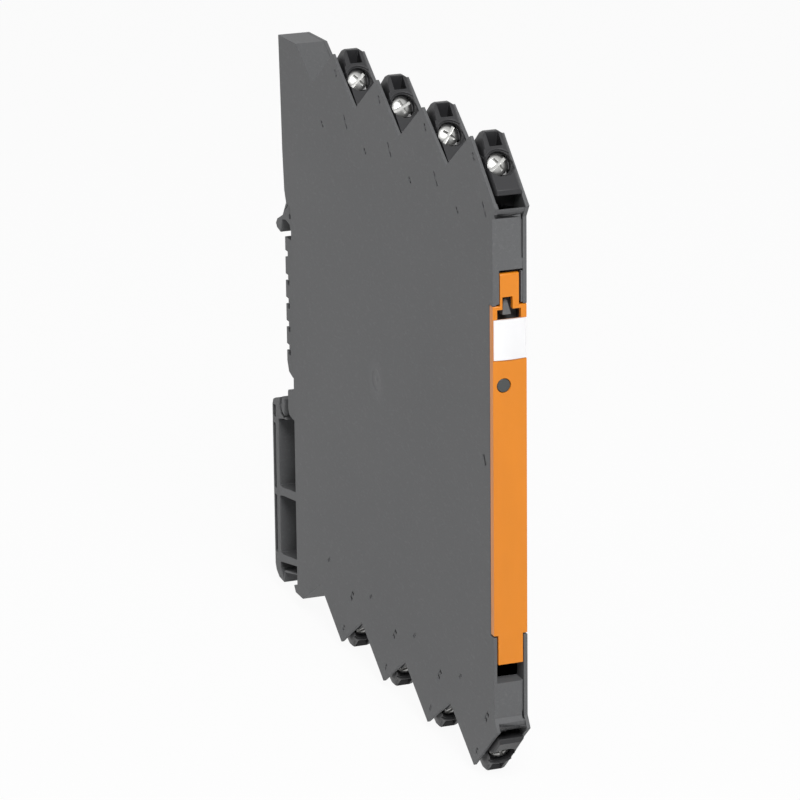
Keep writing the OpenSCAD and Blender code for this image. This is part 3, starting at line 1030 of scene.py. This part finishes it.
def row_tree():
    """Repeats one insert at each tooth of the upper edge and, mirrored, of the lower edge."""
    inputs = (("Insert", "Geometry"), ("Count", "Int", 4), ("Pitch", "Float", 0.0219),
              ("Middle", "Float", 0.001), ("Material", "Material"))
    tree = Tree("Insert rows", inputs)
    step = tree.point(0.0, tree.given("Pitch"), 0.0)
    values = {"Count": tree.given("Count"), "Offset": step}
    places = tree.add("GeometryNodeMeshLine", {"mode": "OFFSET"}, values)
    values = {"Points": places, "Instance": tree.given("Insert")}
    upper = tree.add("GeometryNodeInstanceOnPoints", {}, values)
    upper = tree.add("GeometryNodeRealizeInstances", {}, {"Geometry": upper})
    twice = tree.point(0.0, 0.0, tree.given("Middle") * 2.0)
    lower = tree.moved(upper, Translation=twice, Scale=(1.0, 1.0, -1.0))
    lower = tree.add("GeometryNodeFlipFaces", {}, {"Mesh": lower})
    tree.end(tree.joined(upper, lower))
    return tree


def screw_frame(index, side):
    """Placement of terminal 0 to 3 of a row's screw: origin on the face, +Z out along the screw."""
    height = MID_RISE + side * (TOOTH_TOP + face_height(SCREW_U))
    spot = Matrix.Translation((SCREW_X, tip_y(index) + SCREW_U, height))
    return spot @ Matrix.Rotation(math.pi / 2 - side * SCREW_A, 4, "X")


def insert_solid(edge):
    """The first terminal's insert: sloping face, crest, wire funnel and the screw's channel."""
    tip = Matrix.Translation((0, tip_y(0), MID_RISE + TOOTH_TOP))
    work = bmesh.new()
    outline = [(CREST_U, CREST_TOP), (-0.3, CREST_TOP), (1.4, -1.4), (10.6, VALLEY - 0.25),
               (10.6, VALLEY - 1.3), (4, VALLEY - 1.3), (4, VALLEY - 4.5), (-5.6, VALLEY - 4.5),
               (-5.6, VALLEY - 1), (FACE_LOW, VALLEY - 0.45), (FACE_LOW, face_height(FACE_LOW)),
               (CREST_U - 0.2, CREST_TOP - 0.06)]
    prism(work, outline, INSERT_L, INSERT_R, "x", tip)
    body = shown("insert", plain(work, "insert"))
    # Corners of the crest taken down, steeper at the wall than at the cover
    out_l, out_r = INSERT_L - 1, INSERT_R + 1
    wall_side = [(out_l, 3), (-0.95, 3), (-0.95, CREST_TOP), (-1.45, CREST_TOP - 0.35), (-1.8, -1.0),
                 (-1.95, -3.0), (out_l, -3.0)]
    cover_side = [(out_r, 3), (1.4, 3), (1.4, CREST_TOP), (INSERT_R, 0.2), (out_r, 0.2)]
    # Chamfer along the cover's side of the face
    slope = Matrix.Translation((0, SCREW_U, face_height(SCREW_U))) @ Matrix.Rotation(FACE_A, 4, "X")
    flank = [(out_r, 1), (1.75, 1), (1.75, 0), (INSERT_R, -0.4), (out_r, -0.4)]
    funnel = Matrix.Translation((0, WIRE_U, 0)) @ Matrix.Rotation(WIRE_A, 4, "X")
    screw = screw_frame(0, 1)
    mouth = CHANNEL_R + 0.25
    channel = [(mouth, 4), (mouth, -0.02), (CHANNEL_R, -0.35), (CHANNEL_R, -1.85)]
    # Corners, flank, funnel and channel, then the clamp's chamber
    carved = [
        away(prism, wall_side, -3.8, 3, "y", tip),
        away(prism, cover_side, -14, 3, "y", tip),
        away(prism, flank, -7, 7, "y", tip @ slope),
        away(block, (FUNNEL_L, -1.5, FUNNEL_LOW), (FUNNEL_R, 0.95, 4), tip @ funnel),
        away(turned, channel, screw),
    ]
    carved += [away(block, low, high, screw) for low, high in CHAMBER]
    levels = [MID_RISE + TOOTH_TOP + face_height(SCREW_U), MID_RISE + TOOTH_TOP - 1.0]
    return rounded(body, edge, carved, levels, 24, 3)


def hole_lip(work):
    """The raised lip over the screw's hole, swept round the upper part of the hole's rim."""
    screw = screw_frame(0, 1)
    sine, cosine, slope = math.sin(SCREW_A), math.cos(SCREW_A), math.tan(FACE_A)
    lean = (slope * sine - cosine) / (sine + slope * cosine)
    steps, sides = 22, 10
    radius = CHANNEL_R + LIP_OFF
    path = []
    for step in range(steps + 1):
        angle = LIP_FROM + (LIP_TO - LIP_FROM) * step / steps
        across = radius * math.sin(angle)
        path.append(Vector((radius * math.cos(angle), across, across * lean)))
    rings = []
    for step, spot in enumerate(path):
        ahead = (path[min(step + 1, steps)] - path[max(step - 1, 0)]).normalized()
        out = Vector((0, 0, 1)).cross(ahead).normalized()
        rise = ahead.cross(out)
        thick = LIP_R * min(1.0, 0.35 + 3 * min(step, steps - step) / steps)
        ring = []
        for side in range(sides):
            turn = 2 * math.pi * side / sides
            around = out * math.cos(turn) + rise * math.sin(turn)
            ring.append(work.verts.new((screw @ (spot + around * thick)) * MM))
        rings.append(ring)
    closed(work, rings)


class CONDITIONER_OT_inserts(bpy.types.Operator):
    """Make the eight terminal inserts from one insert and the housing's pitch"""

    bl_idname = "conditioner.inserts"
    bl_label = "Terminal Inserts"

    def execute(self, context):
        own = context.scene.conditioner_terminals
        black = smooth_plastic("Black inserts", own.colour, 0.42, 0.006)
        first = insert_solid(own.edge)
        work = reopened(first.data)
        hole_lip(work)
        bpy.data.objects.remove(first)
        piece = shown("terminal_inserts", plain(work, "terminal_inserts"))
        row_tree().grow(
            piece, Count=PER_ROW, Pitch=TOOTH_PITCH * MM, Middle=MID_RISE * MM, Material=black
        )
        nodes = [f"terminal_block_{number}" for number in TERMINALS]
        dress(piece, black, "housing", "terminal_plastic", *nodes)
        return {"FINISHED"}


class CONDITIONER_OT_screws(bpy.types.Operator):
    """Make the eight plated clamp screws, each on its own body"""

    bl_idname = "conditioner.screws"
    bl_label = "Clamp Screws"

    def execute(self, context):
        own = context.scene.conditioner_terminals
        zinc = plated_metal("Zinc plated screw", own.zinc, 0.3, (1, 0.2, 0.2))
        tree = screw_tree()
        for number in TERMINALS:
            index = (number - 1) % PER_ROW
            side = 1 if number <= PER_ROW else -1
            place = screw_frame(index, side) @ Vector((0, 0, -own.sunk))
            piece = shown(f"screw_{number}_plated", bpy.data.meshes.new("screw"))
            tree.grow(
                piece, Head_Diameter=own.head * MM, Head_Height=(HEAD_LOW - own.sunk) * MM,
                Thread_Diameter=own.thread * MM, Slot_Width=own.slot * MM,
                Twist=SLOT_TWIST[number - 1], Place=place * MM,
                Turn=(math.pi / 2 - side * SCREW_A, 0.0, 0.0), Material=zinc,
            )
            piece.data.set_sharp_from_angle(angle=math.radians(30))
            dress(piece, zinc, f"screw_{number}", "zinc_screw", f"terminal_screw_{number}")
        return {"FINISHED"}


class CONDITIONER_OT_clamps(bpy.types.Operator):
    """Finish the clamp yokes, the contact bars and the rail contacts"""

    bl_idname = "conditioner.clamps"
    bl_label = "Clamps And Contacts"

    def execute(self, context):
        steel = plated_metal("Plated clamp steel", (0.3, 0.3, 0.3), 0.3, (0.2, 1, 1))
        tin = plated_metal("Tinned copper", (0.74, 0.73, 0.7), 0.28, (0.2, 1, 1))
        gold = plated_metal("Gold flash", (0.83, 0.62, 0.3), 0.22, (1, 0.2, 1))
        for number in TERMINALS:
            coat(f"clamp_yoke_{number}", steel)
            coat(f"contact_bar_{number}", tin)
        coat("bus_contacts", gold)
        return {"FINISHED"}


class CONDITIONER_OT_electronics(bpy.types.Operator):
    """Finish the board and what it carries"""

    bl_idname = "conditioner.electronics"
    bl_label = "Electronics"

    def execute(self, context):
        coat("main_board", board_laminate("Green board", (0.02, 0.13, 0.05)))
        coat("transformer_core", sintered("Ferrite", (0.05, 0.05, 0.053), 0.55))
        coat("transformer_coil", wound_copper("Wound copper", (0.72, 0.33, 0.13)))
        chips = sintered("Moulded package", (0.022, 0.022, 0.023), 0.5)
        for node in ("processor_chip", "converter_chip"):
            coat(node, chips)
        coat("capacitors", sintered("Capacitor body", (0.55, 0.4, 0.25), 0.4))
        coat("status_led", smooth_plastic("Diode body", (0.85, 0.83, 0.72), 0.3, 0.002, 0.2))
        return {"FINISHED"}


def area_light(name, place, target, size, power):
    """A soft round light that faces a point."""
    light = bpy.data.lights.new(name, "AREA")
    light.shape = "DISK"
    light.size = size
    light.energy = power
    holder = shown(name, light)
    holder.location = place
    way = Vector(target) - Vector(place)
    holder.rotation_euler = way.to_track_quat("-Z", "Y").to_euler()


def pale_floor(own):
    """A floor that is white where it is seen and keeps a faint soft shadow."""
    low = CAD_BOX[0][2] - FLOOR_DROP
    work = bmesh.new()
    signs = ((-1, -1), (1, -1), (1, 1), (-1, 1))
    work.faces.new([work.verts.new((x * FLOOR_HALF, y * FLOOR_HALF, low)) for x, y in signs])
    floor = shown("floor", plain(work, "floor"))
    shader = Shader("Pale floor")
    floor.data.materials.append(shader.finish(Base_Color=shade(own.floor, 1.0), Roughness=0.9))
    glow = shader.add("ShaderNodeEmission", {}, {"Color": WHITE, "Strength": 1.0})
    matt = Signal(shader, shader.surface.outputs[0])
    values = {0: shader.seen() * FLOOR_GLOW, 1: matt, 2: glow}
    shader.join(shader.add("ShaderNodeMixShader", {}, values), shader.output.inputs["Surface"])


def white_room(strength):
    """A world that is white where it is seen, and an even grey light to all else."""
    world = bpy.data.worlds.new("Studio")
    bpy.context.scene.world = world
    world.use_nodes = True
    graph = Graph(world.node_tree)
    output = graph.nodes.new("ShaderNodeOutputWorld")
    even = graph.add("ShaderNodeBackground", {}, {"Color": WHITE, "Strength": strength})
    white = graph.add("ShaderNodeBackground", {}, {"Color": WHITE, "Strength": 1.0})
    mixed = graph.add("ShaderNodeMixShader", {}, {0: graph.seen(), 1: even, 2: white})
    graph.join(mixed, output.inputs["Surface"])


def photo_camera():
    """The camera at the photograph's place, turned and rolled as it was."""
    azimuth, elevation, roll = CAMERA_AZIMUTH, CAMERA_ELEVATION, CAMERA_ROLL
    level = math.cos(elevation)
    back = Vector((-math.sin(azimuth) * level, -math.cos(azimuth) * level, math.sin(elevation)))
    right = (-back).cross(Vector((0, 0, 1))).normalized()
    up = right.cross(-back)
    across = right * math.cos(roll) + up * math.sin(roll)
    upright = up * math.cos(roll) - right * math.sin(roll)
    camera = bpy.data.cameras.new("Camera")
    camera.lens = CAMERA_LENS
    camera.sensor_width = 36
    camera.clip_start = 0.01
    camera.clip_end = 20
    holder = shown("Camera", camera)
    turn = Matrix((across, upright, back)).transposed().to_4x4()
    holder.matrix_world = Matrix.Translation(CAMERA_PLACE) @ turn
    bpy.context.scene.camera = holder


class CONDITIONER_OT_stage(bpy.types.Operator):
    """Set up the floor, the soft studio light and the camera"""

    bl_idname = "conditioner.stage"
    bl_label = "Stage"

    def execute(self, context):
        own = context.scene.conditioner_stage
        photo_camera()
        pale_floor(own)
        white_room(own.room)
        area_light("Key", (-0.12, -0.8, 0.72), LOOK_AT, 0.5, own.key)
        area_light("Side", (-0.7, 0.12, 0.16), (0, -0.07, 0), 0.4, own.side)
        context.scene.view_settings.view_transform = "Standard"
        return {"FINISHED"}


class CONDITIONER_PT_panel(bpy.types.Panel):
    """Sizes, colours and the steps that build the conditioner"""

    bl_idname = "CONDITIONER_PT_panel"
    bl_label = "Signal Conditioner"
    bl_space_type = "VIEW_3D"
    bl_region_type = "UI"
    bl_category = "Conditioner"

    def draw(self, context):
        for group, operators in PANEL:
            box = self.layout.box()
            own = getattr(context.scene, group)
            for name in own.__annotations__:
                box.prop(own, name)
            for operator in operators:
                box.operator(operator.bl_idname)


GROUPS = {
    "conditioner_housing": HousingSettings,
    "conditioner_flap": FlapSettings,
    "conditioner_terminals": TerminalSettings,
    "conditioner_stage": StageSettings,
}
PANEL = (
    ("conditioner_housing", (CONDITIONER_OT_housing, CONDITIONER_OT_foot, CONDITIONER_OT_electronics)),
    ("conditioner_flap", (CONDITIONER_OT_flap,)),
    ("conditioner_terminals", (CONDITIONER_OT_inserts, CONDITIONER_OT_screws, CONDITIONER_OT_clamps)),
    ("conditioner_stage", (CONDITIONER_OT_stage,)),
)
OPERATORS = [operator for _, operators in PANEL for operator in operators]


def register():
    for name, group in GROUPS.items():
        bpy.utils.register_class(group)
        setattr(bpy.types.Scene, name, bpy.props.PointerProperty(type=group))
    for operator in OPERATORS:
        bpy.utils.register_class(operator)
    bpy.utils.register_class(CONDITIONER_PT_panel)


def unregister():
    bpy.utils.unregister_class(CONDITIONER_PT_panel)
    for operator in reversed(OPERATORS):
        bpy.utils.unregister_class(operator)
    for name, group in GROUPS.items():
        delattr(bpy.types.Scene, name)
        bpy.utils.unregister_class(group)


def main():
    """Registers the add-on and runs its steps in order."""
    register()
    bpy.ops.conditioner.stage()
    bpy.ops.conditioner.housing()
    bpy.ops.conditioner.foot()
    bpy.ops.conditioner.flap()
    bpy.ops.conditioner.inserts()
    bpy.ops.conditioner.screws()
    bpy.ops.conditioner.clamps()
    bpy.ops.conditioner.electronics()


if __name__ == "__main__":
    main()
